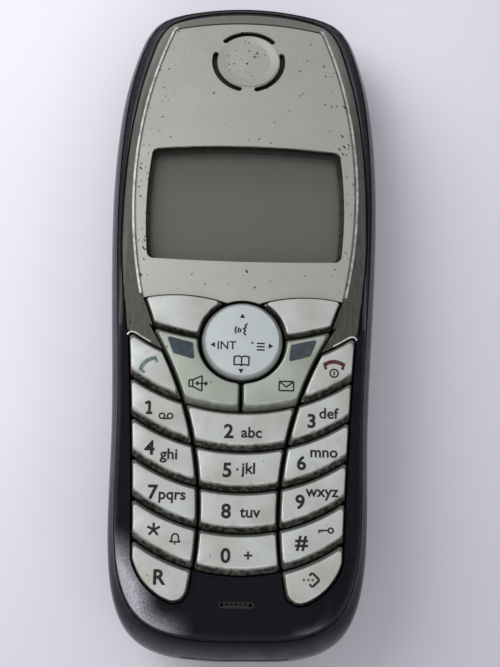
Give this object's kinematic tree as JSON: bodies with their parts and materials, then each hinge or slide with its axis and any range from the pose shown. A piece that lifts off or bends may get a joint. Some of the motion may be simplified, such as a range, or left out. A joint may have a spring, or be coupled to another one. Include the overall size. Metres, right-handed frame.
{
  "type": "cordless telephone handset",
  "caption": "One-piece cordless telephone handset with a display, a round rocker key, an arched keypad and a sliding battery cover.",
  "frame": {"origin": "middle of the underside: the handset lies on its back on z = 0", "axes": "+X to the right seen from the front, +Y towards the earpiece, +Z out of the keypad"},
  "size_m": [0.0548, 0.1401, 0.0252],
  "materials": {
    "gloss_shell": "gloss, moulded",
    "dark_shell": "fine spark texture",
    "grey_bezel": "satin metallic paint",
    "champagne_plate": "satin metallic paint",
    "clear_window": "clear moulded",
    "black_plastic": "moulded",
    "steel_screw": "zinc plated",
    "nav_silver": "silver paint, worn",
    "key_silver": "silver paint, worn",
    "slate_window": "tinted",
    "circuit_board": "solder mask",
    "dome_steel": "pressed",
    "black_rubber": "moulded",
    "lcd_glass": "reflective display",
    "white_plastic": "moulded",
    "tinned_can": "tin plated",
    "cell_wrap": "printed sleeve, plain",
    "spring_steel": "nickel plated",
    "gold_contact": "gold plated"
  },
  "bodies": {
    "handset": {"antenna": "tinned_can", "battery_cell_left": "cell_wrap", "battery_cell_right": "cell_wrap", "battery_contacts": "spring_steel", "battery_springs": "spring_steel", "board_chips": "black_plastic", "charge_contacts": "gold_contact", "display_window": "clear_window", "earpiece_mesh": "black_plastic", "earpiece_speaker": "black_plastic", "face_plate": "champagne_plate", "front_shell": "dark_shell", "housing_screws": "steel_screw", "key_domes": "dome_steel", "key_mat": "black_rubber", "lcd_light_guide": "white_plastic", "lcd_module": "lcd_glass", "main_board": "circuit_board", "mic_insert": "black_plastic", "microphone": "dome_steel", "microphone_boot": "black_rubber", "rear_shell": "gloss_shell", "ringer_speaker": "black_plastic", "shield_can": "tinned_can", "upper_bezel": "grey_bezel"},
    "soft_key_left": {"soft_key_left": "key_silver"},
    "soft_key_right": {"soft_key_right": "key_silver"},
    "speaker_key": {"speaker_key": "key_silver", "speaker_indicator": "slate_window"},
    "message_key": {"message_key": "key_silver", "message_indicator": "slate_window"},
    "talk_key": {"talk_key": "key_silver"},
    "end_key": {"end_key": "key_silver"},
    "key_1": {"key_1": "key_silver"},
    "key_2": {"key_2": "key_silver"},
    "key_3": {"key_3": "key_silver"},
    "key_4": {"key_4": "key_silver"},
    "key_5": {"key_5": "key_silver"},
    "key_6": {"key_6": "key_silver"},
    "key_7": {"key_7": "key_silver"},
    "key_8": {"key_8": "key_silver"},
    "key_9": {"key_9": "key_silver"},
    "key_star": {"key_star": "key_silver"},
    "key_0": {"key_0": "key_silver"},
    "key_hash": {"key_hash": "key_silver"},
    "recall_key": {"recall_key": "key_silver"},
    "mute_key": {"mute_key": "key_silver"},
    "nav_carrier": {"nav_carrier": "black_plastic"},
    "nav_key": {"nav_key": "nav_silver"},
    "battery_cover": {"battery_cover": "gloss_shell"}
  },
  "joints": [
    {"name": "soft_key_left_press", "type": "slide", "parent": "handset", "child": "soft_key_left", "axis": [0, 0, -1], "range_m": [0, 0.0004], "stiffness_N_per_m": 1500, "springref_m": -0.0002},
    {"name": "soft_key_right_press", "type": "slide", "parent": "handset", "child": "soft_key_right", "axis": [0, 0, -1], "range_m": [0, 0.0004], "stiffness_N_per_m": 1500, "springref_m": -0.0002},
    {"name": "speaker_key_press", "type": "slide", "parent": "handset", "child": "speaker_key", "axis": [0, 0, -1], "range_m": [0, 0.0004], "stiffness_N_per_m": 1500, "springref_m": -0.0002},
    {"name": "message_key_press", "type": "slide", "parent": "handset", "child": "message_key", "axis": [0, 0, -1], "range_m": [0, 0.0004], "stiffness_N_per_m": 1500, "springref_m": -0.0002},
    {"name": "talk_key_press", "type": "slide", "parent": "handset", "child": "talk_key", "axis": [0, 0, -1], "range_m": [0, 0.0004], "stiffness_N_per_m": 1500, "springref_m": -0.0002},
    {"name": "end_key_press", "type": "slide", "parent": "handset", "child": "end_key", "axis": [0, 0, -1], "range_m": [0, 0.0004], "stiffness_N_per_m": 1500, "springref_m": -0.0002},
    {"name": "key_1_press", "type": "slide", "parent": "handset", "child": "key_1", "axis": [0, 0, -1], "range_m": [0, 0.0004], "stiffness_N_per_m": 1500, "springref_m": -0.0002},
    {"name": "key_2_press", "type": "slide", "parent": "handset", "child": "key_2", "axis": [0, 0, -1], "range_m": [0, 0.0004], "stiffness_N_per_m": 1500, "springref_m": -0.0002},
    {"name": "key_3_press", "type": "slide", "parent": "handset", "child": "key_3", "axis": [0, 0, -1], "range_m": [0, 0.0004], "stiffness_N_per_m": 1500, "springref_m": -0.0002},
    {"name": "key_4_press", "type": "slide", "parent": "handset", "child": "key_4", "axis": [0, 0, -1], "range_m": [0, 0.0004], "stiffness_N_per_m": 1500, "springref_m": -0.0002},
    {"name": "key_5_press", "type": "slide", "parent": "handset", "child": "key_5", "axis": [0, 0, -1], "range_m": [0, 0.0004], "stiffness_N_per_m": 1500, "springref_m": -0.0002},
    {"name": "key_6_press", "type": "slide", "parent": "handset", "child": "key_6", "axis": [0, 0, -1], "range_m": [0, 0.0004], "stiffness_N_per_m": 1500, "springref_m": -0.0002},
    {"name": "key_7_press", "type": "slide", "parent": "handset", "child": "key_7", "axis": [0, 0, -1], "range_m": [0, 0.0004], "stiffness_N_per_m": 1500, "springref_m": -0.0002},
    {"name": "key_8_press", "type": "slide", "parent": "handset", "child": "key_8", "axis": [0, 0, -1], "range_m": [0, 0.0004], "stiffness_N_per_m": 1500, "springref_m": -0.0002},
    {"name": "key_9_press", "type": "slide", "parent": "handset", "child": "key_9", "axis": [0, 0, -1], "range_m": [0, 0.0004], "stiffness_N_per_m": 1500, "springref_m": -0.0002},
    {"name": "key_star_press", "type": "slide", "parent": "handset", "child": "key_star", "axis": [0, 0, -1], "range_m": [0, 0.0004], "stiffness_N_per_m": 1500, "springref_m": -0.0002},
    {"name": "key_0_press", "type": "slide", "parent": "handset", "child": "key_0", "axis": [0, 0, -1], "range_m": [0, 0.0004], "stiffness_N_per_m": 1500, "springref_m": -0.0002},
    {"name": "key_hash_press", "type": "slide", "parent": "handset", "child": "key_hash", "axis": [0, 0, -1], "range_m": [0, 0.0004], "stiffness_N_per_m": 1500, "springref_m": -0.0002},
    {"name": "recall_key_press", "type": "slide", "parent": "handset", "child": "recall_key", "axis": [0, 0, -1], "range_m": [0, 0.0004], "stiffness_N_per_m": 1500, "springref_m": -0.0002},
    {"name": "mute_key_press", "type": "slide", "parent": "handset", "child": "mute_key", "axis": [0, 0, -1], "range_m": [0, 0.0004], "stiffness_N_per_m": 1500, "springref_m": -0.0002},
    {"name": "nav_left_right", "type": "hinge", "parent": "handset", "child": "nav_carrier", "pos_m": [0, -0.0117, 0.0222], "axis": [0, 1, 0], "range_deg": [-2.5, 2.5], "stiffness_Nm_per_rad": 0.05},
    {"name": "nav_up_down", "type": "hinge", "parent": "nav_carrier", "child": "nav_key", "pos_m": [0, -0.0117, 0.0222], "axis": [1, 0, 0], "range_deg": [-2.5, 2.5], "stiffness_Nm_per_rad": 0.05},
    {"name": "battery_cover_slide", "type": "slide", "parent": "handset", "child": "battery_cover", "axis": [0, -1, 0], "range_m": [0, 0.06]}
  ]
}
